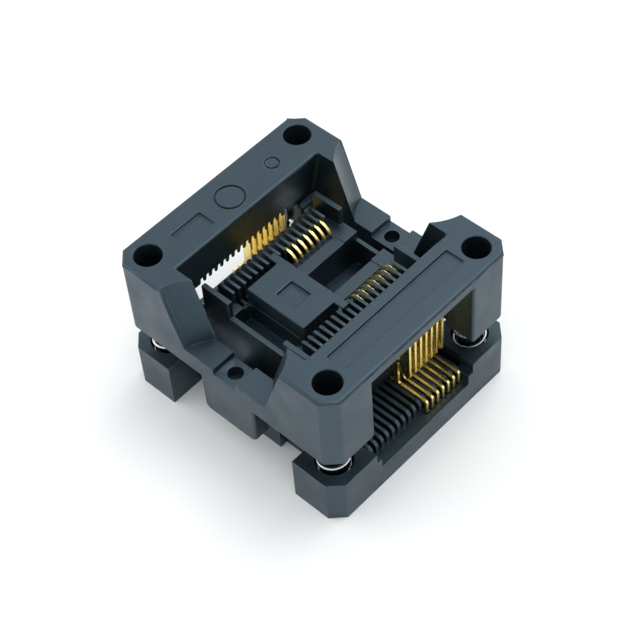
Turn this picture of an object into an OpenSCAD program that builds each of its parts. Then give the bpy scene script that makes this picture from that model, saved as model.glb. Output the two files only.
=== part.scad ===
// Open-top zero-insertion-force test socket for a fine-pitch gull-wing device.
// X runs across the two raised bars, Y along the contact rows, Z up.
// The origin is the middle of the face that the base rests on.

/* [Overall] */
// Length of the base across the bars
base_x = 23.0; // [22.4:0.1:25]
// Length of the base along the contact rows
base_y = 21.0; // [20.6:0.1:24]
// Height of the base feet
base_h = 4.5; // [4.2:0.1:5]
// Open gap between the base feet and the cover at rest
cover_gap = 2.65; // [2.3:0.05:3]
// Height of the cover from its lower edge to the top of its bars
cover_h = 7.8; // [7.4:0.1:8.6]
// How far the cover is set in from the base on each side
cover_inset = 0.08; // [0.03:0.01:0.2]
// Leg of the chamfer on each upright corner
corner_cut = 1.1; // [0.6:0.1:1.5]
// How far the cover travels down when it is pressed
stroke = 1.9; // [1.4:0.1:2]

/* [Base] */
// Width of a corner foot in X
foot_x = 4.65; // [4.3:0.05:5]
// Depth of the open recess between two feet, at each end
end_recess = 3.2; // [2.8:0.1:3.6]
// Thickness of the low side walls and of their ledge
wall_t = 1.35; // [1.2:0.05:1.6]
// Height of the floor plate's upper face, which is also the side ledge
floor_top = 2.4; // [2:0.1:2.6]
// Thickness of the floor plate
floor_t = 1.6; // [1.2:0.1:1.8]
// Depth of the two steps that lower the side walls below the feet
side_step = 1.05; // [0.8:0.05:1.3]
// Half length of the upper, wider step of the side walls
side_open = 5.8; // [5.6:0.05:6]
// Half width of the catch boss at each end
boss_half = 2.9; // [2.6:0.1:3.2]

/* [Contacts] */
// Contact pitch
pitch = 0.65; // [0.6:0.01:0.7]
// Contact places moulded in each row
places = 16; // [12:2:16]
// Contacts fitted in each row, counted from the back
fitted = 7; // [3:1:7]
// Thickness of the contact strip along the row
strip_t = 0.24; // [0.18:0.01:0.28]
// Width of a comb slot
slot_w = 0.36; // [0.32:0.01:0.4]
// Distance of the tails from the outer face of the base
tail_edge = 0.78; // [0.7:0.01:0.9]
// Distance of the flexing point from the middle plane
flex_x = 7.62; // [7.5:0.01:7.8]
// Height of the flexing point
flex_z = 4.6; // [4.5:0.05:4.7]
// Outer edge of the actuating levers
lever_x = 9.1; // [9:0.05:9.2]
// Width of an actuating lever
lever_w = 1.0; // [0.8:0.05:1.1]
// Height of the top of the levers
lever_top = 10.8; // [10.5:0.05:11]
// Height of the crest of the contact tips
tip_top = 11.5; // [11.3:0.05:11.7]
// Distance of the tips' inner ends from the middle plane
tip_in = 2.7; // [2.65:0.01:2.9]

/* [Seat] */
// Height of the two ridges that carry the device body
seat_z = 10.4; // [10.1:0.05:10.5]
// Width of the middle slot between the ridges
seat_slot = 2.8; // [2.4:0.1:3.2]
// Outer edge of a ridge from the middle plane
ridge_out = 2.5; // [2.3:0.05:2.55]
// Outer edge of the lead rest from the middle plane
lead_rest = 3.15; // [3.05:0.05:3.2]
// Depth of the middle slot
seat_slot_depth = 3.2; // [2:0.1:4]
// Height of the tower end walls
end_wall_z = 12.3; // [12:0.1:12.4]
// Thickness of a tower end wall
end_wall_t = 0.45; // [0.35:0.05:0.6]
// Outer face of the tower end walls from the middle plane
tower_end = 6.6; // [6.4:0.05:6.7]
// Thickness of the stop plate
stop_t = 1.7; // [1.4:0.1:1.8]

/* [Cover] */
// Width of the window between the bars, at the top
window_x = 13.5; // [13.2:0.1:13.7]
// Length of the window between the end walls
window_y = 16.1; // [15.8:0.1:16.4]
// Thickness of the bars' top slab
slab_t = 1.1; // [0.9:0.1:1.4]
// Radius of the soft edge round the top
top_round = 0.3; // [0.2:0.05:0.5]
// Width of the notch in an end wall, at the top of its outer face
notch_top = 12.2; // [11.6:0.1:12.6]
// Width of the notch floor at the outer face
notch_floor = 8.14; // [7.6:0.02:8.6]
// Width of the notch at the top of its inner face
notch_in_top = 9.6; // [9:0.1:9.8]
// Width of the notch floor at the inner face
notch_in_floor = 5.6; // [5.3:0.1:6.2]
// Depth of the notch from the top of the cover
notch_deep = 5.7; // [5:0.1:5.8]
// Radius of the shallow scoops that shape the notch's flanks
scoop_r = 5.0; // [4:0.1:7]
// Diameter of the hole in each corner of the top
corner_hole = 2.3; // [1.8:0.1:2.5]
// Distance of the corner holes from the cover's side faces
hole_side = 1.99; // [1.9:0.01:2.1]
// Distance of the corner holes from the cover's end faces
hole_end = 1.97; // [1.9:0.01:2.1]
// Length of the legs below the cover
leg_len = 4.05; // [3.7:0.05:4.2]
// Half width of a leg
leg_half = 2.85; // [2.5:0.05:3]
// Thickness of a leg
leg_t = 1.6; // [1.4:0.05:1.7]

/* [Springs] */
// Outer diameter of a corner spring
spring_od = 2.85; // [2.6:0.05:2.9]
// Diameter of the spring wire
wire_d = 0.25; // [0.2:0.01:0.28]
// Number of turns
turns = 5.5; // [4.5:0.5:6]
// Distance of the springs from the outer faces of the base
spring_inset = 2.35; // [2.25:0.05:2.4]

/* [Hidden] */
$fn = 48;
eps = 0.01;
black = [0.09, 0.10, 0.11];
dark = [0.06, 0.065, 0.07];
gold = [0.85, 0.66, 0.22];
steel = [0.75, 0.76, 0.78];

half_x = base_x / 2;
half_y = base_y / 2;
cover_hx = half_x - cover_inset;
cover_hy = half_y - cover_inset;
cover_z = base_h + cover_gap;
top_z = cover_z + cover_h;
body_y = half_y - end_recess;
foot_in = half_x - foot_x;
floor_z = floor_top - floor_t;
tail_x = half_x - tail_edge;
hole_x = 2 * (cover_hx - hole_side);
hole_y = 2 * (cover_hy - hole_end);
spring_x = 2 * (half_x - spring_inset);
spring_y = 2 * (half_y - spring_inset);
function place_y(i) = (i - (places - 1) / 2) * pitch;
function fitted_y(i) = place_y(places - fitted + i - 1);
arc_steps = 8;
function arc(cx, cz, r, a0, a1) =
    [for (k = [0:arc_steps]) let (a = a0 + (a1 - a0) * k / arc_steps) [cx + r * cos(a), cz + r * sin(a)]];

// An outline in the XZ plane made into a slab that is centred on the given Y.
module slab_xz(y, t) {
    translate([0, y + t / 2, 0]) rotate([90, 0, 0]) linear_extrude(t) children();
}

// The same thing on the other side of the middle plane.
module both_x() {
    children();
    mirror([1, 0, 0]) children();
}

module both_y() {
    children();
    mirror([0, 1, 0]) children();
}

// A block given by its two corners.
module block(a, b) {
    translate(a) cube(b - a);
}

// Plan outline of a body with chamfered corners.
module plan(hx, hy, cut) {
    polygon([[hx - cut, -hy], [hx, -hy + cut], [hx, hy - cut], [hx - cut, hy],
        [-hx + cut, hy], [-hx, hy - cut], [-hx, -hy + cut], [-hx + cut, -hy]]);
}

// ---- heights and faces that several parts share ----
slab_z = top_z - slab_t;
lever_in = lever_x - lever_w;
cam_out = lever_in - 0.13;
cam_foot = cam_out - 0.19;
cam_low = lever_top - 1.2;
cam_slope = 0.52;
arm_z = floor_top + 1.2;
arm_t = 0.3;
neck_gap = 0.05;
anchor_in = 6.9;
anchor_w = 0.45;
anchor_out = anchor_in + anchor_w;
anchor_low = floor_z + 0.3;
tail_t = 0.25;
hole_clear = 0.06;
comb_out = tail_x - 0.35;
comb_top = arm_z + 0.1;
trunk_x = 6.8;
rib_t = pitch - slot_w;
pin_d = 1.9;
seat_depth = 1.3;
spring_seat = base_h - seat_depth;
pocket_top = cover_z + 2.0;
pocket_d = spring_od + 0.3;
boss_y = body_y + 0.7;
catch_y = boss_y + 0.6;
catch_z = cover_z - leg_len + 0.85;
trough_y = body_y - 1.4;

// ---- base ----

// Low comb rib, seen from the side: flat top and a round outer end.
module lower_rib(y) {
    r = 0.5;
    slab_xz(y, rib_t) union() {
        polygon([[trunk_x, floor_top - 0.2], [comb_out, floor_top - 0.2], [comb_out, comb_top - r],
            [comb_out - r, comb_top], [trunk_x, comb_top]]);
        intersection() {
            translate([comb_out - r, comb_top - r]) circle(r);
            translate([comb_out - r, comb_top - r]) square(r);
        }
    }
}

module base_solid() {
    intersection() {
        linear_extrude(base_h) plan(half_x, half_y, corner_cut);
        union() {
            block([-half_x, -body_y, 0], [half_x, body_y, base_h]);
            both_x() block([foot_in, -half_y, 0], [half_x, half_y, base_h]);
            block([-boss_half, -boss_y, 0], [boss_half, boss_y, base_h]);
            block([-boss_half, -catch_y, catch_z], [boss_half, catch_y, base_h]);
        }
    }
}

module base_housing() {
    color(black) difference() {
        union() {
            difference() {
                base_solid();
                // the trough for the contact block and the contacts
                block([-half_x + wall_t, -trough_y, floor_top], [half_x - wall_t, trough_y, base_h + 1]);
                // the two steps that lower each side wall
                both_x() block([half_x - wall_t - 1, -side_open, base_h - side_step],
                    [half_x + 1, side_open, base_h + 1]);
                both_x() block([half_x - wall_t - 1, -side_open + 0.55, floor_top],
                    [half_x + 1, side_open - 0.55, base_h + 1]);
                // spring seats
                for (sx = [-1, 1], sy = [-1, 1])
                    translate([sx * spring_x / 2, sy * spring_y / 2, spring_seat])
                        cylinder(d = pocket_d, h = seat_depth + 1);
                // relief under the floor
                block([-foot_in, -body_y + 1, -1], [foot_in, body_y - 1, floor_z]);
            }
            both_x() for (j = [0:places]) lower_rib(place_y(j) - pitch / 2);
            // centring pins of the springs
            for (sx = [-1, 1], sy = [-1, 1])
                translate([sx * spring_x / 2, sy * spring_y / 2, spring_seat - 0.2])
                    cylinder(d = pin_d, h = seat_depth + 1.3);
        }
        // slots for the tails and the anchors
        both_x() for (i = [1:fitted]) {
            block([tail_x - tail_t / 2 - hole_clear, fitted_y(i) - slot_w / 2, -1],
                [tail_x + tail_t / 2 + hole_clear, fitted_y(i) + slot_w / 2, floor_top + 1]);
            block([anchor_in - hole_clear, fitted_y(i) - slot_w / 2, anchor_low],
                [anchor_out + hole_clear, fitted_y(i) + slot_w / 2, floor_top + 1]);
        }
    }
}

// ---- contact block ----
block_y = trough_y - 0.03;
block_end = place_y(places - 1) + pitch / 2 + rib_t / 2;
rib_in = 3.65;
rib_out = 5.45;
rib_crown = tip_top + 0.35;
nose_r = 0.55;
trench_z = 8.0;
lip_z = seat_z - 0.05;
strip_z = seat_z - 0.2;
strip_in = lead_rest - 0.1;
pit_z = 8.6;
wide_seat = 2.9;
upright_in = 2.9;
upright_out = 5.85;
slot_y = -0.4;
stop_y = -4.4;
wing_x = 4.05;

// High comb rib, seen from the side: a level crown with a round outer nose, and a low inner step.
module upper_rib(y) {
    r = nose_r;
    slab_xz(y, rib_t) union() {
        polygon([[strip_in + eps, trench_z - 0.5], [strip_in + eps, lip_z], [rib_in, lip_z],
            [rib_in, rib_crown], [rib_out - r, rib_crown], [rib_out, rib_crown - r],
            [rib_out, trench_z - 0.9], [rib_out - r, trench_z - 1.2]]);
        translate([rib_out - r, rib_crown - r]) circle(r);
    }
}

// Half of the trunk seen from the end, with the trench in which the tips swing.
module trunk_half() {
    polygon([[-eps, floor_top], [trunk_x, floor_top], [trunk_x, floor_top + 2.4], [6.3, 5.85],
        [5.0, trench_z], [lead_rest, trench_z], [lead_rest, lip_z], [strip_in, lip_z],
        [strip_in, strip_z], [ridge_out, strip_z], [ridge_out, seat_z], [-eps, seat_z]]);
}

module contact_block() {
    color(dark) difference() {
        union() {
            both_x() slab_xz(0, 2 * block_end) trunk_half();
            both_x() for (j = [0:places]) upper_rib(place_y(j) - pitch / 2);
            // the foot of the block fills the trough between the combs
            block([-trunk_x, -block_y, floor_top], [trunk_x, block_y, base_h]);
            both_y() {
                block([-upright_out, block_end - rib_t, base_h], [upright_out, tower_end, seat_z + 0.1]);
                both_x() block([upright_in, tower_end - end_wall_t, base_h],
                    [upright_out, tower_end, end_wall_z]);
            }
            // the seat widens at the far end
            block([-wide_seat, 4.9, trench_z], [wide_seat, tower_end, seat_z]);
        }
        // the slot between the ridges runs out at the far end
        block([-seat_slot / 2, slot_y, seat_z - seat_slot_depth], [seat_slot / 2, tower_end + 1, seat_z + 1]);
        // the pit at the near end
        block([-wide_seat, -tower_end + end_wall_t, pit_z], [wide_seat, stop_y, seat_z + 1]);
        // key slot of the stop plate
        block([-seat_slot / 2, stop_y + 0.6, seat_z - 1], [seat_slot / 2, slot_y - 0.6, seat_z + 1]);
        // ejector mark on the floor of the slot
        translate([-0.7, 5.9, seat_z - seat_slot_depth - 0.08]) cylinder(d = 0.8, h = 1);
    }
}

module stop_plate() {
    z = seat_z + stop_t;
    color(black) difference() {
        union() {
            block([-strip_in, stop_y, seat_z], [strip_in, slot_y - 0.05, z]);
            block([-wing_x, slot_y - 0.6, rib_crown], [wing_x, slot_y + 0.1, z]);
            block([-seat_slot / 2 + 0.03, stop_y + 0.63, seat_z - 0.95],
                [seat_slot / 2 - 0.03, slot_y - 0.63, seat_z + 0.1]);
        }
        // a plain sunk square in the top
        block([-0.92, -3.25, z - panel_deep], [1.1, -1.5, z + 1]);
    }
}

// ---- cover ----
post_in = 7.2;
post_out = 8.6;
open_y = side_open;
open_mid = open_y + 0.4;
notch_z = top_z - notch_deep;
groove_z = notch_z - 0.6;
groove_half = 1.2;
groove_end = 9.18;
mark_x = cover_hx - 2.6;
mark_y = 4.83;
panel_x = cover_hx - 2.72;
panel_w = 1.78;
panel_deep = 0.12;
hole_low = max(top_z - 4.5, pocket_top + 0.4);
leg_low = cover_z - leg_len;
leg_in = cover_hy - leg_t;

// Cutter that rounds a straight top edge of the given length along X.
module edge_round(l, r) {
    difference() {
        translate([-l / 2, -r, -r]) cube([l, 2 * r, 2 * r]);
        translate([-l / 2 - 1, -r, -r]) rotate([0, 90, 0]) cylinder(r = r, h = l + 2);
    }
}

// The top edges all round the outline, ends and corners included.
module outline_rounds() {
    r = top_round;
    c = corner_cut;
    for (a = [0, 180]) rotate(a) {
        translate([0, cover_hy, top_z]) edge_round(2 * (cover_hx - c), r);
        translate([cover_hx, 0, top_z]) rotate(-90) edge_round(2 * (cover_hy - c), r);
        for (m = [0, 1]) mirror([m, 0, 0])
            translate([cover_hx - c / 2, cover_hy - c / 2, top_z]) rotate(-45) edge_round(c * sqrt(2), r);
    }
}

// A bar seen from the end: slab, and the thin cam wall that hangs from its inner edge.
module bar_profile() {
    polygon([[window_x / 2, top_z], [cover_hx, top_z], [cover_hx, slab_z],
        [cam_out + cam_slope * (slab_z - lever_top), slab_z], [cam_out, lever_top],
        [cam_out, cam_low], [cam_foot, cam_low]]);
}

// The inner face of the window seen from the end, for what lies beyond the cam walls.
module window_half() {
    polygon([[-eps, cover_z - 1], [post_in, cover_z - 1], [post_in, cam_low - 0.3], [cam_foot, cam_low],
        [window_x / 2, top_z], [window_x / 2, top_z + 1], [-eps, top_z + 1]]);
}

// Middle of the circle of radius r that passes through two points and opens to the left of them.
function scoop_centre(p, q, r) =
    let (d = q - p, l = norm(d)) (p + q) / 2 + [d.y, -d.x] / l * sqrt(r * r - l * l / 4);

// One flank of a notch: a shallow round scoop that leans, through the flank's four corners.
module notch_half() {
    y_out = cover_hy;
    y_in = window_y / 2;
    a = scoop_centre([notch_top / 2, y_out], [notch_in_top / 2, y_in], scoop_r);
    b = scoop_centre([notch_floor / 2, y_out], [notch_in_floor / 2, y_in], scoop_r);
    axis = [a.x - b.x, a.y - b.y, notch_deep];
    intersection() {
        translate([b.x, b.y, notch_z]) rotate([0, acos(axis.z / norm(axis)), atan2(axis.y, axis.x)])
            translate([0, 0, -4]) cylinder(r = scoop_r, h = norm(axis) + 8, $fn = 96);
        block([-eps, 0, notch_z], [half_x, half_y + 3, top_z + 2]);
    }
}

module cover_leg() {
    intersection() {
        block([-leg_half, leg_in, leg_low], [leg_half, cover_hy, notch_z]);
        slab_xz(leg_in + 1, 4) polygon([[-leg_half + 0.4, leg_low], [leg_half - 0.4, leg_low],
            [leg_half, leg_low + 0.4], [leg_half, top_z], [-leg_half, top_z], [-leg_half, leg_low + 0.4]]);
    }
    // the catch under the ledge of the base
    block([-leg_half + 1, boss_y + 0.1, leg_low], [leg_half - 1, leg_in + 0.1, leg_low + 0.8]);
}

module cover() {
    color(black) difference() {
        union() {
            intersection() {
                translate([0, 0, cover_z]) linear_extrude(cover_h) plan(cover_hx, cover_hy, corner_cut);
                union() {
                    both_x() slab_xz(0, window_y + 0.2) bar_profile();
                    both_y() {
                        block([-half_x, window_y / 2, cover_z], [half_x, half_y, top_z]);
                        both_x() {
                            block([post_out, open_y, cover_z], [half_x, half_y, top_z]);
                            difference() {
                                block([post_in, open_mid, cover_z], [half_x, half_y, top_z]);
                                slab_xz(window_y / 4, window_y / 2) window_half();
                            }
                        }
                    }
                }
            }
            both_y() cover_leg();
        }
        both_y() both_x() notch_half();
        both_y() {
            block([-groove_half, 0, groove_z], [groove_half, half_y + 1, notch_z + 1]);
            translate([0, groove_end, groove_z - 1.05]) cylinder(d = 1.3, h = 3);
        }
        // spring pockets below, blind holes above
        for (sx = [-1, 1], sy = [-1, 1]) {
            translate([sx * spring_x / 2, sy * spring_y / 2, cover_z - 1])
                cylinder(d = pocket_d, h = pocket_top - cover_z + 1);
            translate([sx * hole_x / 2, sy * hole_y / 2, hole_low])
                cylinder(d = corner_hole, h = top_z - hole_low + 1);
        }
        // a notch in the cam wall at every contact place
        both_x() for (i = [0:places - 1])
            block([cam_foot - 0.6, place_y(i) - slot_w / 2, cam_low - 1],
                [cam_out + 0.3, place_y(i) + slot_w / 2, cam_low + 0.7]);
        outline_rounds();
        // bare sunk panels on both bars and plain ring marks on the left one
        for (p = [[-1, -5.9, -2.7], [1, -6.8, 6.8]])
            block([p[0] * panel_x - panel_w / 2, p[1], top_z - panel_deep],
                [p[0] * panel_x + panel_w / 2, p[2], top_z + 1]);
        translate([-mark_x, 0, top_z - 0.08]) ring_mark(1.3, 0.16);
        translate([-mark_x, mark_y, top_z - 0.08]) ring_mark(0.66, 0.14);
    }
}

module ring_mark(r, w) {
    difference() {
        cylinder(r = r, h = 1);
        translate([0, 0, -1]) cylinder(r = r - w, h = 3);
    }
}

// ---- springs ----
coil_sides = 6;
coil_steps = 14;

// A wire wound at constant pitch between the base seat and the pocket.
module spring(sx, sy) {
    n = ceil(turns * coil_steps);
    r = (spring_od - wire_d) / 2;
    w = wire_d / 2;
    z0 = spring_seat + w;
    z1 = pocket_top - w;
    points = [for (k = [0:n], s = [0:coil_sides - 1])
        let (a = 360 * turns * k / n, b = 360 * s / coil_sides, q = r + w * cos(b))
        [q * cos(a), q * sin(a), z0 + (z1 - z0) * k / n + w * sin(b)]];
    ends = [[for (s = [0:coil_sides - 1]) s], [for (s = [coil_sides - 1:-1:0]) n * coil_sides + s]];
    walls = [for (k = [0:n - 1], s = [0:coil_sides - 1])
        let (t = (s + 1) % coil_sides, c = k * coil_sides, d = c + coil_sides)
        [c + s, d + s, d + t, c + t]];
    color(steel) translate([sx * spring_x / 2, sy * spring_y / 2, 0])
        polyhedron(points, concat(ends, walls), convexity = 10);
}

// ---- contacts ----

// The fixed half of a contact: anchor, beam, lower arm and tail.
module root_profile() {
    z = arm_z + arm_t;
    polygon([[anchor_in, anchor_low], [anchor_out, anchor_low], [anchor_out, arm_z - 0.15],
        [anchor_out + 0.15, arm_z], [tail_x - tail_t / 2 - 0.1, arm_z], [tail_x - tail_t / 2, arm_z - 0.1],
        [tail_x - tail_t / 2, 0.05], [tail_x + tail_t / 2, 0.05], [tail_x + tail_t / 2, z - 0.15],
        [tail_x + tail_t / 2 - 0.15, z], [flex_x + 0.4, z], [flex_x + 0.24, z + 0.1],
        [flex_x + 0.2, flex_z - neck_gap], [flex_x - 0.2, flex_z - neck_gap], [flex_x - 0.24, z + 0.1],
        [flex_x - 0.4, z], [anchor_in, z]]);
}

// The sprung half: neck, upright lever for the cam, and the arm with its hooked tip.
hook_r = 1.3;
hook_t = 0.3;
crest_r = 0.8;
fillet = 0.35;
elbow_x = 5.2;
elbow_z = 9.5;
neck_half = 0.2;
fork_z = flex_z + 2.1;
foot_z = flex_z + 0.75;

module arm_profile() {
    cx = tip_in + hook_r - 0.05;
    hook_z = tip_top - hook_r;
    crest_z = tip_top - crest_r;
    polygon(concat([[flex_x - neck_half, flex_z + neck_gap], [flex_x + neck_half, flex_z + neck_gap],
        [flex_x + neck_half, fork_z - 0.15], [flex_x + neck_half + 0.1, fork_z],
        [lever_in - 0.1, fork_z - 0.05], [lever_in + 0.42, foot_z + 0.1], [lever_in + 0.55, foot_z],
        [lever_x - 0.25, foot_z], [lever_x, foot_z + 0.3]],
        arc(lever_x - 0.3, lever_top - 0.3, 0.3, 0, 90), arc(lever_in + 0.2, lever_top - 0.2, 0.2, 90, 180),
        arc(lever_in - fillet, fork_z + 0.3 + fillet, fillet, 0, -90),
        [[flex_x - 0.35, fork_z + 0.3], [flex_x - 0.6, fork_z + 0.45], [elbow_x, elbow_z],
        [cx + crest_r, crest_z - 0.2]],
        arc(cx, crest_z, crest_r, 0, 90), arc(cx, hook_z, hook_r, 90, 162),
        arc(cx, hook_z, hook_r - hook_t, 162, 90), arc(cx, crest_z, crest_r - hook_t, 90, 0),
        [[cx + crest_r - hook_t, crest_z - 0.4], [elbow_x - 0.25, elbow_z - 0.55],
        [flex_x - 1.02, flex_z + 1.6], [flex_x - 0.55, flex_z + 0.75]]));
}

module contact_root(i) {
    slab_xz(fitted_y(i), strip_t) root_profile();
}

module contact_roots_right() {
    color(gold) for (i = [1:fitted]) contact_root(i);
}

module contact_roots_left() {
    color(gold) mirror([1, 0, 0]) for (i = [1:fitted]) contact_root(i);
}

module contact_arm_right(i) {
    color(gold) slab_xz(fitted_y(i), strip_t) arm_profile();
}

module contact_arm_left(i) {
    mirror([1, 0, 0]) contact_arm_right(i);
}

base_housing();
contact_block();
stop_plate();
cover();
spring(-1, -1);  // spring_front_left
spring(1, -1);  // spring_front_right
spring(-1, 1);  // spring_back_left
spring(1, 1);  // spring_back_right
contact_roots_left();
contact_roots_right();
for (i = [1:fitted]) {
    contact_arm_left(i);
    contact_arm_right(i);
}
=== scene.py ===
import bpy
import bmesh
import math
from mathutils import Matrix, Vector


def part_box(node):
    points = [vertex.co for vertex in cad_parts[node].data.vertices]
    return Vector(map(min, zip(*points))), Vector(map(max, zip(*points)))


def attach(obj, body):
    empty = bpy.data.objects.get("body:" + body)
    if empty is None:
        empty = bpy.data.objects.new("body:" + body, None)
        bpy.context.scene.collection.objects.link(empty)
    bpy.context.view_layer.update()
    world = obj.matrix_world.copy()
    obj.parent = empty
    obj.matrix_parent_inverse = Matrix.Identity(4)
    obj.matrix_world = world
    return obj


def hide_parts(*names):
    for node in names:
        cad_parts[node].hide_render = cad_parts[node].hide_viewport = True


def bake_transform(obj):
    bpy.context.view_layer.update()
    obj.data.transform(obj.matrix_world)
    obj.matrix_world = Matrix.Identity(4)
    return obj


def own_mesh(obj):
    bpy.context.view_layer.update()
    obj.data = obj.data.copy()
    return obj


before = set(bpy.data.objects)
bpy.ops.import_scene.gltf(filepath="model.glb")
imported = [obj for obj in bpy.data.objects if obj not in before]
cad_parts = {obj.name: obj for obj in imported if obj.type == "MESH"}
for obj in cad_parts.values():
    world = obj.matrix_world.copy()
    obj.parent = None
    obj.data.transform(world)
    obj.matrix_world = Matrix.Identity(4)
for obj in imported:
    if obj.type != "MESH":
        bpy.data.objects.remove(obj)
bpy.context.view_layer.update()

# Camera and light. The socket is seen from above its near right corner, on a flat sheet of white
# paper. A large soft lamp stands high behind it on the right and a weaker one low on the left.
view_azimuth, view_elevation, view_roll = 46.47, 51.24, -4.86
view_middle = (0, 0, 0.007)
view_offset = (0.00024, -0.00034, 0.1431)
camera_data = bpy.data.cameras.new("camera")
camera_data.lens = 100.1
camera_data.sensor_width = 36.0
camera_data.clip_start = 0.01
camera_data.clip_end = 10.0
camera = bpy.data.objects.new("camera", camera_data)
bpy.context.scene.collection.objects.link(camera)
bpy.context.scene.camera = camera
turn = (Matrix.Rotation(math.radians(view_azimuth), 4, "Z")
        @ Matrix.Rotation(math.radians(90 - view_elevation), 4, "X")
        @ Matrix.Rotation(math.radians(view_roll), 4, "Z"))
camera.matrix_world = Matrix.Translation(view_middle) @ turn @ Matrix.Translation(view_offset)

paper_shape = bmesh.new()
bmesh.ops.create_grid(paper_shape, x_segments=1, y_segments=1, size=1.5)
paper_mesh = bpy.data.meshes.new("paper")
paper_shape.to_mesh(paper_mesh)
paper_shape.free()
paper = bpy.data.objects.new("paper", paper_mesh)
bpy.context.scene.collection.objects.link(paper)
white = bpy.data.materials.new("white_paper")
white.use_nodes = True
white_nodes = white.node_tree
white_nodes.nodes["Principled BSDF"].inputs["Base Color"].default_value = (0.90, 0.92, 0.925, 1)
white_nodes.nodes["Principled BSDF"].inputs["Roughness"].default_value = 0.9
white_nodes.nodes["Principled BSDF"].inputs["Specular IOR Level"].default_value = 0.1
paper.data.materials.append(white)

sky = bpy.data.worlds.new("studio")
bpy.context.scene.world = sky
sky.use_nodes = True
sky.node_tree.nodes["Background"].inputs["Color"].default_value = (1, 1, 1, 1)
sky.node_tree.nodes["Background"].inputs["Strength"].default_value = 1.06


def soft_lamp(name, azimuth, elevation, distance, size, power):
    """A round lamp aimed at the origin: angles in degrees, distance and size in metres, power in watts."""
    data = bpy.data.lights.new(name, "AREA")
    data.shape = "DISK"
    data.size = size
    data.energy = power
    lamp = bpy.data.objects.new(name, data)
    bpy.context.scene.collection.objects.link(lamp)
    lamp.matrix_world = (Matrix.Rotation(math.radians(azimuth), 4, "Z")
                         @ Matrix.Rotation(math.radians(90 - elevation), 4, "X")
                         @ Matrix.Translation((0, 0, distance)))


soft_lamp("key_lamp", 176, 62, 0.4, 0.3, 0.5)
soft_lamp("left_lamp", -60, 25, 0.45, 0.35, 0.3)
bpy.context.scene.view_settings.view_transform = "Standard"

# Cover frame. Black glass-filled plastic, moulded in one shot with matte faces and slightly soft
# edges. It floats on four springs and is held by its two hooked legs.


def moulded_grain():
    """Mottle of the glass filling and the fine bloom that the mould leaves on every face."""
    group = bpy.data.node_groups.new("moulded_grain", "ShaderNodeTree")
    group.interface.new_socket("Mottle", in_out="OUTPUT", socket_type="NodeSocketFloat")
    group.interface.new_socket("Height", in_out="OUTPUT", socket_type="NodeSocketFloat")
    nodes, links = group.nodes, group.links
    out = nodes.new("NodeGroupOutput")
    place = nodes.new("ShaderNodeTexCoord")
    coarse = nodes.new("ShaderNodeTexNoise")
    coarse.inputs["Scale"].default_value = 420
    coarse.inputs["Detail"].default_value = 5
    fine = nodes.new("ShaderNodeTexNoise")
    fine.inputs["Scale"].default_value = 5200
    fine.inputs["Detail"].default_value = 4
    links.new(place.outputs["Object"], coarse.inputs["Vector"])
    links.new(place.outputs["Object"], fine.inputs["Vector"])
    links.new(coarse.outputs["Fac"], out.inputs["Mottle"])
    links.new(fine.outputs["Fac"], out.inputs["Height"])
    return group


def edge_wear_and_highlight():
    """Paler colour along the edges: a painted edge highlight together with handling wear, strong on the
    edge itself and broken up along it.
    """
    group = bpy.data.node_groups.new("edge_wear_and_highlight", "ShaderNodeTree")
    group.interface.new_socket("WearAndHighlight", in_out="OUTPUT", socket_type="NodeSocketFloat")
    nodes, links = group.nodes, group.links
    out = nodes.new("NodeGroupOutput")
    place = nodes.new("ShaderNodeTexCoord")
    patchy = nodes.new("ShaderNodeTexNoise")
    patchy.inputs["Scale"].default_value = 900
    patchy.inputs["Detail"].default_value = 4
    rounded = nodes.new("ShaderNodeBevel")
    rounded.samples = 6
    rounded.inputs["Radius"].default_value = 0.00012
    flat = nodes.new("ShaderNodeNewGeometry")
    same = nodes.new("ShaderNodeVectorMath")
    same.operation = "DOT_PRODUCT"
    edge = nodes.new("ShaderNodeMapRange")
    edge.inputs["From Min"].default_value = 0.98
    edge.inputs["From Max"].default_value = 0.90
    broken = nodes.new("ShaderNodeMapRange")
    broken.inputs["From Min"].default_value = 0.42
    broken.inputs["From Max"].default_value = 0.62
    # Edge mask times patchy noise: where the painted edge highlight and the wear fall.
    wear_and_highlight = nodes.new("ShaderNodeMath")
    wear_and_highlight.operation = "MULTIPLY"
    links.new(place.outputs["Object"], patchy.inputs["Vector"])
    links.new(rounded.outputs["Normal"], same.inputs[0])
    links.new(flat.outputs["Normal"], same.inputs[1])
    links.new(same.outputs["Value"], edge.inputs["Value"])
    links.new(patchy.outputs["Fac"], broken.inputs["Value"])
    links.new(edge.outputs["Result"], wear_and_highlight.inputs[0])
    links.new(broken.outputs["Result"], wear_and_highlight.inputs[1])
    links.new(wear_and_highlight.outputs["Value"], out.inputs["WearAndHighlight"])
    return group


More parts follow.
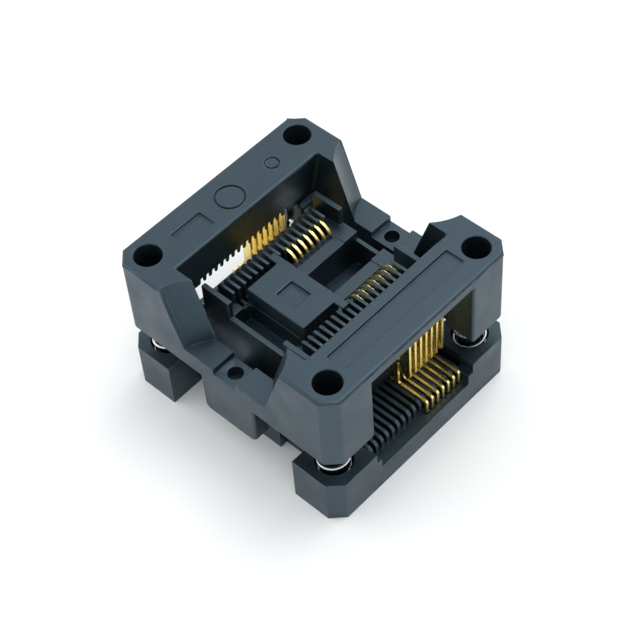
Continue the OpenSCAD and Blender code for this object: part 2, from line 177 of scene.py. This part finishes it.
def settled_dust():
    """A few fine specks and a faint haze on faces that look up."""
    group = bpy.data.node_groups.new("settled_dust", "ShaderNodeTree")
    group.interface.new_socket("Dust", in_out="OUTPUT", socket_type="NodeSocketFloat")
    nodes, links = group.nodes, group.links
    out = nodes.new("NodeGroupOutput")
    place = nodes.new("ShaderNodeTexCoord")
    cells = nodes.new("ShaderNodeTexVoronoi")
    cells.inputs["Scale"].default_value = 1100
    speck = nodes.new("ShaderNodeMapRange")
    speck.inputs["From Min"].default_value = 0.09
    speck.inputs["From Max"].default_value = 0.05
    haze = nodes.new("ShaderNodeTexNoise")
    haze.inputs["Scale"].default_value = 160
    haze.inputs["Detail"].default_value = 3
    thin = nodes.new("ShaderNodeMapRange")
    thin.inputs["From Min"].default_value = 0.5
    thin.inputs["From Max"].default_value = 0.8
    thin.inputs["To Max"].default_value = 0.25
    most = nodes.new("ShaderNodeMath")
    most.operation = "MAXIMUM"
    flat = nodes.new("ShaderNodeNewGeometry")
    parts = nodes.new("ShaderNodeSeparateXYZ")
    up = nodes.new("ShaderNodeMapRange")
    up.inputs["From Min"].default_value = 0.5
    up.inputs["From Max"].default_value = 0.9
    lies = nodes.new("ShaderNodeMath")
    lies.operation = "MULTIPLY"
    links.new(place.outputs["Object"], cells.inputs["Vector"])
    links.new(place.outputs["Object"], haze.inputs["Vector"])
    links.new(cells.outputs["Distance"], speck.inputs["Value"])
    links.new(haze.outputs["Fac"], thin.inputs["Value"])
    links.new(speck.outputs["Result"], most.inputs[0])
    links.new(thin.outputs["Result"], most.inputs[1])
    links.new(flat.outputs["Normal"], parts.inputs["Vector"])
    links.new(parts.outputs["Z"], up.inputs["Value"])
    links.new(most.outputs["Value"], lies.inputs[0])
    links.new(up.outputs["Result"], lies.inputs[1])
    links.new(lies.outputs["Value"], out.inputs["Dust"])
    return group


grain = moulded_grain()
edge_wear_and_highlight_group = edge_wear_and_highlight()
dust = settled_dust()


def moulded_plastic(name, colour, pale, roughness):
    """Colour and pale are the resin and its glass mottle; roughness is that of the moulded face."""
    material = bpy.data.materials.new(name)
    material.use_nodes = True
    nodes, links = material.node_tree.nodes, material.node_tree.links
    shader = nodes["Principled BSDF"]
    shader.inputs["Specular IOR Level"].default_value = 0.95
    shader.inputs["Specular Tint"].default_value = (0.55, 0.80, 1.0, 1)
    texture = nodes.new("ShaderNodeGroup")
    texture.node_tree = grain
    edges = nodes.new("ShaderNodeGroup")
    edges.node_tree = edge_wear_and_highlight_group
    specks = nodes.new("ShaderNodeGroup")
    specks.node_tree = dust
    tint = nodes.new("ShaderNodeMix")
    tint.data_type = "RGBA"
    tint.inputs["A"].default_value = (*colour, 1)
    tint.inputs["B"].default_value = (*pale, 1)
    # Edges are painted toward this pale grey: a painted highlight along each edge, partly handling wear.
    worn_and_highlit = nodes.new("ShaderNodeMix")
    worn_and_highlit.data_type = "RGBA"
    worn_and_highlit.inputs["B"].default_value = (0.12, 0.145, 0.16, 1)
    faint = nodes.new("ShaderNodeMath")
    faint.operation = "MULTIPLY"
    faint.inputs[1].default_value = 0.7
    dusty = nodes.new("ShaderNodeMix")
    dusty.data_type = "RGBA"
    dusty.inputs["B"].default_value = (0.22, 0.24, 0.25, 1)
    little = nodes.new("ShaderNodeMath")
    little.operation = "MULTIPLY"
    little.inputs[1].default_value = 0.12
    shine = nodes.new("ShaderNodeMapRange")
    shine.inputs["From Min"].default_value = 0.3
    shine.inputs["From Max"].default_value = 0.7
    shine.inputs["To Min"].default_value = roughness - 0.07
    shine.inputs["To Max"].default_value = roughness + 0.1
    bump = nodes.new("ShaderNodeBump")
    bump.inputs["Strength"].default_value = 0.35
    bump.inputs["Distance"].default_value = 0.00002
    links.new(texture.outputs["Mottle"], tint.inputs["Factor"])
    links.new(texture.outputs["Mottle"], shine.inputs["Value"])
    links.new(texture.outputs["Height"], bump.inputs["Height"])
    links.new(edges.outputs["WearAndHighlight"], faint.inputs[0])
    links.new(faint.outputs["Value"], worn_and_highlit.inputs["Factor"])
    links.new(tint.outputs["Result"], worn_and_highlit.inputs["A"])
    links.new(specks.outputs["Dust"], little.inputs[0])
    links.new(little.outputs["Value"], dusty.inputs["Factor"])
    links.new(worn_and_highlit.outputs["Result"], dusty.inputs["A"])
    links.new(dusty.outputs["Result"], shader.inputs["Base Color"])
    links.new(shine.outputs["Result"], shader.inputs["Roughness"])
    links.new(bump.outputs["Normal"], shader.inputs["Normal"])
    return material


black_moulding = moulded_plastic("black_moulding", (0.002, 0.006, 0.008), (0.006, 0.011, 0.014), 0.40)


sharp_angle = math.radians(35)
least_weight, crisp_weight = 0.04, 0.12
shortest_edge, rim_edge = 0.0001, 0.0003


def softened(node, width, body, sunk=(), crisp=None):
    """A copy of a moulded or stamped piece whose edges are rounded as the tool leaves them.

    An edge beside a narrow face and the rim of a hole get a smaller radius, and the edges for which
    crisp is true a very small one. Each pair in sunk is the level of a bare mark and how much
    deeper its floor is shown."""
    shape = bmesh.new()
    shape.from_mesh(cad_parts[node].data)
    bmesh.ops.remove_doubles(shape, verts=shape.verts, dist=0.000002)
    bmesh.ops.dissolve_limit(shape, angle_limit=0.002, verts=shape.verts, edges=shape.edges)
    for level, extra in sunk:
        for vert in shape.verts:
            if abs(vert.co.z - level) < 0.000003:
                vert.co.z -= extra
    weight = shape.edges.layers.float.new("bevel_weight_edge")
    for edge in shape.edges:
        if len(edge.link_faces) == 2 and abs(edge.calc_face_angle(0)) > sharp_angle:
            length = edge.calc_length()
            room = 0.3 * min(face.calc_area() for face in edge.link_faces) / length
            if shortest_edge < length < rim_edge:
                room = min(room, 0.6 * length)
            edge[weight] = max(least_weight, min(1.0, room / width))
            if crisp and crisp((edge.verts[0].co + edge.verts[1].co) / 2):
                edge[weight] = crisp_weight
            elif crisp and length < shortest_edge:
                edge[weight] = 0
    mesh = bpy.data.meshes.new(node + "_soft")
    shape.to_mesh(mesh)
    shape.free()
    piece = bpy.data.objects.new(node + "_soft", mesh)
    bpy.context.scene.collection.objects.link(piece)
    edges = piece.modifiers.new("soft_edges", "BEVEL")
    edges.width = width
    edges.segments = 3
    edges.limit_method = "WEIGHT"
    edges.use_clamp_overlap = crisp is None
    mesh.shade_smooth()
    mesh.set_sharp_from_angle(angle=sharp_angle)
    flat = piece.modifiers.new("flat_faces", "WEIGHTED_NORMAL")
    flat.keep_sharp = True
    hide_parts(node)
    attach(piece, body)
    return piece


panel_floor = (0.01483, 0.00013)
ring_floor = (0.01487, 0.00012)


def beside_notch(point):
    """True on an end wall, around its notch, where several short edges meet."""
    return abs(point.y) > 0.0079 and abs(point.x) < 0.0069 and point.z > 0.0086


cover = softened("cover", 0.00022, "cover_frame", (panel_floor, ring_floor), beside_notch)
cover.data.materials.append(black_moulding)

# Base housing. The same black plastic: four feet, low walls with the lower comb, and a pin in each
# spring seat.
base = softened("base_housing", 0.00016, "socket_base")
base.data.materials.append(black_moulding)

# Contact block. A moulding of nearly the same black plastic, a little smoother. It stands in the
# trough of the base and carries the upper comb and the seat.
dark_moulding = moulded_plastic("dark_moulding", (0.003, 0.006, 0.008), (0.006, 0.010, 0.012), 0.38)
block = softened("contact_block", 0.00008, "socket_base")
block.data.materials.append(dark_moulding)

# Slot web. A low wall, moulded with the block, that closes the far end of the slot in the seat.
web_size = (0.00279, 0.00038, 0.0026)
web_middle = (0, 0.00639, 0.00851)
web_shape = bmesh.new()
web_verts = bmesh.ops.create_cube(web_shape, size=1)["verts"]
bmesh.ops.scale(web_shape, verts=web_verts, vec=web_size)
bmesh.ops.translate(web_shape, verts=web_verts, vec=web_middle)
bmesh.ops.bevel(web_shape, geom=web_shape.edges[:], offset=0.00005, offset_type="OFFSET", segments=2,
                profile=0.5, affect="EDGES", clamp_overlap=True, material=-1)
web_mesh = bpy.data.meshes.new("slot_web")
web_shape.to_mesh(web_mesh)
web_shape.free()
web = bpy.data.objects.new("slot_web", web_mesh)
bpy.context.scene.collection.objects.link(web)
web_mesh.materials.append(dark_moulding)
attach(web, "socket_base")

# Stop plate. A flat plate of the same black plastic, pressed into the seat, where it ends the
# chip's place.
square_floor = (0.01198, 0.0002)
plate = softened("stop_plate", 0.0001, "socket_base", (square_floor,))
plate.data.materials.append(black_moulding)

# Contacts. Stamped from beryllium copper strip and gold plated; the row stands in the combs, and
# each one flexes at its neck.


def gold_plate():
    """Thin bright gold whose tint and shine drift a little along the strip."""
    material = bpy.data.materials.new("gold_plate")
    material.use_nodes = True
    nodes, links = material.node_tree.nodes, material.node_tree.links
    shader = nodes["Principled BSDF"]
    shader.inputs["Metallic"].default_value = 1
    place = nodes.new("ShaderNodeTexCoord")
    noise = nodes.new("ShaderNodeTexNoise")
    noise.inputs["Scale"].default_value = 900
    noise.inputs["Detail"].default_value = 5
    tint = nodes.new("ShaderNodeMix")
    tint.data_type = "RGBA"
    tint.inputs["A"].default_value = (0.95, 0.72, 0.22, 1)
    tint.inputs["B"].default_value = (1.0, 0.86, 0.38, 1)
    shine = nodes.new("ShaderNodeMapRange")
    shine.inputs["To Min"].default_value = 0.18
    shine.inputs["To Max"].default_value = 0.36
    bump = nodes.new("ShaderNodeBump")
    bump.inputs["Strength"].default_value = 0.15
    bump.inputs["Distance"].default_value = 0.00002
    links.new(place.outputs["Object"], noise.inputs["Vector"])
    links.new(noise.outputs["Fac"], tint.inputs["Factor"])
    links.new(noise.outputs["Fac"], shine.inputs["Value"])
    links.new(noise.outputs["Fac"], bump.inputs["Height"])
    links.new(tint.outputs["Result"], shader.inputs["Base Color"])
    links.new(shine.outputs["Result"], shader.inputs["Roughness"])
    links.new(bump.outputs["Normal"], shader.inputs["Normal"])
    return material


gold = gold_plate()
fitted = 7
for side in ("left", "right"):
    roots = softened("contact_roots_" + side, 0.00003, "socket_base")
    roots.data.materials.append(gold)
    for place in range(1, fitted + 1):
        arm = softened("contact_arm_%s_%d" % (side, place), 0.00003, "arms_" + side)
        arm.data.materials.append(gold)

# Necks. The narrow part of each contact between its fixed foot and its arm, in the same strip; it
# bends when the levers are pushed. Each is a plain strip here, left apart from both bodies.


neck_x, neck_z = 0.00762, 0.0046
neck_width, neck_height = 0.00038, 0.0005


def necks(side, sign):
    """The seven bending strips of one row; sign is the side of the middle plane that they stand on."""
    shape = bmesh.new()
    for place in range(1, fitted + 1):
        low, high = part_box("contact_arm_%s_%d" % (side, place))
        neck = bmesh.ops.create_cube(shape, size=1)["verts"]
        bmesh.ops.scale(shape, verts=neck, vec=(neck_width, high.y - low.y - 0.00002, neck_height))
        bmesh.ops.translate(shape, verts=neck, vec=(sign * neck_x, (low.y + high.y) / 2, neck_z))
    upright = [edge for edge in shape.edges if abs(edge.verts[0].co.z - edge.verts[1].co.z) > 0.0004]
    bmesh.ops.subdivide_edges(shape, edges=upright, cuts=6)
    mesh = bpy.data.meshes.new("necks_" + side)
    shape.to_mesh(mesh)
    shape.free()
    piece = bpy.data.objects.new("necks_" + side, mesh)
    bpy.context.scene.collection.objects.link(piece)
    mesh.materials.append(gold)
    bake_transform(piece)


necks("left", -1)
necks("right", 1)

# Corner springs. Round spring-steel wire, coiled cold with closed ends; each stands on its pin in a
# foot of the base and reaches up into a pocket of the cover.
steel = bpy.data.materials.new("spring_wire")
steel.use_nodes = True
steel_nodes, steel_links = steel.node_tree.nodes, steel.node_tree.links
steel_shader = steel_nodes["Principled BSDF"]
steel_shader.inputs["Metallic"].default_value = 1
steel_place = steel_nodes.new("ShaderNodeTexCoord")
steel_noise = steel_nodes.new("ShaderNodeTexNoise")
steel_noise.inputs["Scale"].default_value = 1500
steel_tint = steel_nodes.new("ShaderNodeMix")
steel_tint.data_type = "RGBA"
steel_tint.inputs["A"].default_value = (0.55, 0.55, 0.56, 1)
steel_tint.inputs["B"].default_value = (0.72, 0.72, 0.73, 1)
steel_shine = steel_nodes.new("ShaderNodeMapRange")
steel_shine.inputs["To Min"].default_value = 0.2
steel_shine.inputs["To Max"].default_value = 0.35
steel_links.new(steel_place.outputs["Object"], steel_noise.inputs["Vector"])
steel_links.new(steel_noise.outputs["Fac"], steel_tint.inputs["Factor"])
steel_links.new(steel_noise.outputs["Fac"], steel_shine.inputs["Value"])
steel_links.new(steel_tint.outputs["Result"], steel_shader.inputs["Base Color"])
steel_links.new(steel_shine.outputs["Result"], steel_shader.inputs["Roughness"])


wire = 0.00025
closed_turns, open_turns = 0.8, 3.9
turn_steps = 32


def coil_spring(node, start):
    """One spring between the ends of its plain solid; start is the angle of its lower end in degrees."""
    low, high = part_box(node)
    middle = (low + high) / 2
    radius = (high.x - low.x - wire) / 2
    rise = high.z - low.z - wire
    shape = bmesh.new()
    ring = bmesh.ops.create_circle(shape, segments=10, radius=wire / 2)["verts"]
    bmesh.ops.rotate(shape, verts=ring, cent=(0, 0, 0), matrix=Matrix.Rotation(math.pi / 2, 3, "X"))
    bmesh.ops.translate(shape, verts=ring, vec=(middle.x + radius, middle.y, low.z + wire / 2))
    bmesh.ops.rotate(shape, verts=ring, cent=middle, matrix=Matrix.Rotation(math.radians(start), 3, "Z"))
    edge = list(shape.edges)
    bmesh.ops.contextual_create(shape, geom=list(shape.edges))
    closed_climb = wire * closed_turns * 1.05
    for turns, climb in ((closed_turns, closed_climb), (open_turns, rise - 2.1 * wire * closed_turns),
                         (closed_turns, closed_climb)):
        count = int(round(turn_steps * turns))
        made = bmesh.ops.spin(shape, geom=edge, cent=(middle.x, middle.y, 0), axis=(0, 0, 1),
                              dvec=(0, 0, climb / count), angle=2 * math.pi * turns, steps=count)
        edge = [part for part in made["geom_last"] if isinstance(part, bmesh.types.BMEdge)]
    bmesh.ops.contextual_create(shape, geom=edge)
    bmesh.ops.remove_doubles(shape, verts=shape.verts, dist=0.000001)
    bmesh.ops.recalc_face_normals(shape, faces=shape.faces)
    mesh = bpy.data.meshes.new(node + "_coil")
    shape.to_mesh(mesh)
    shape.free()
    mesh.shade_smooth()
    piece = bpy.data.objects.new(node + "_coil", mesh)
    bpy.context.scene.collection.objects.link(piece)
    mesh.materials.append(steel)
    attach(piece, "socket_base")
    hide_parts(node)
    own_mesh(piece)


for corner, start in (("front_left", 30), ("front_right", 0), ("back_left", 120), ("back_right", 215)):
    coil_spring("spring_" + corner, start)
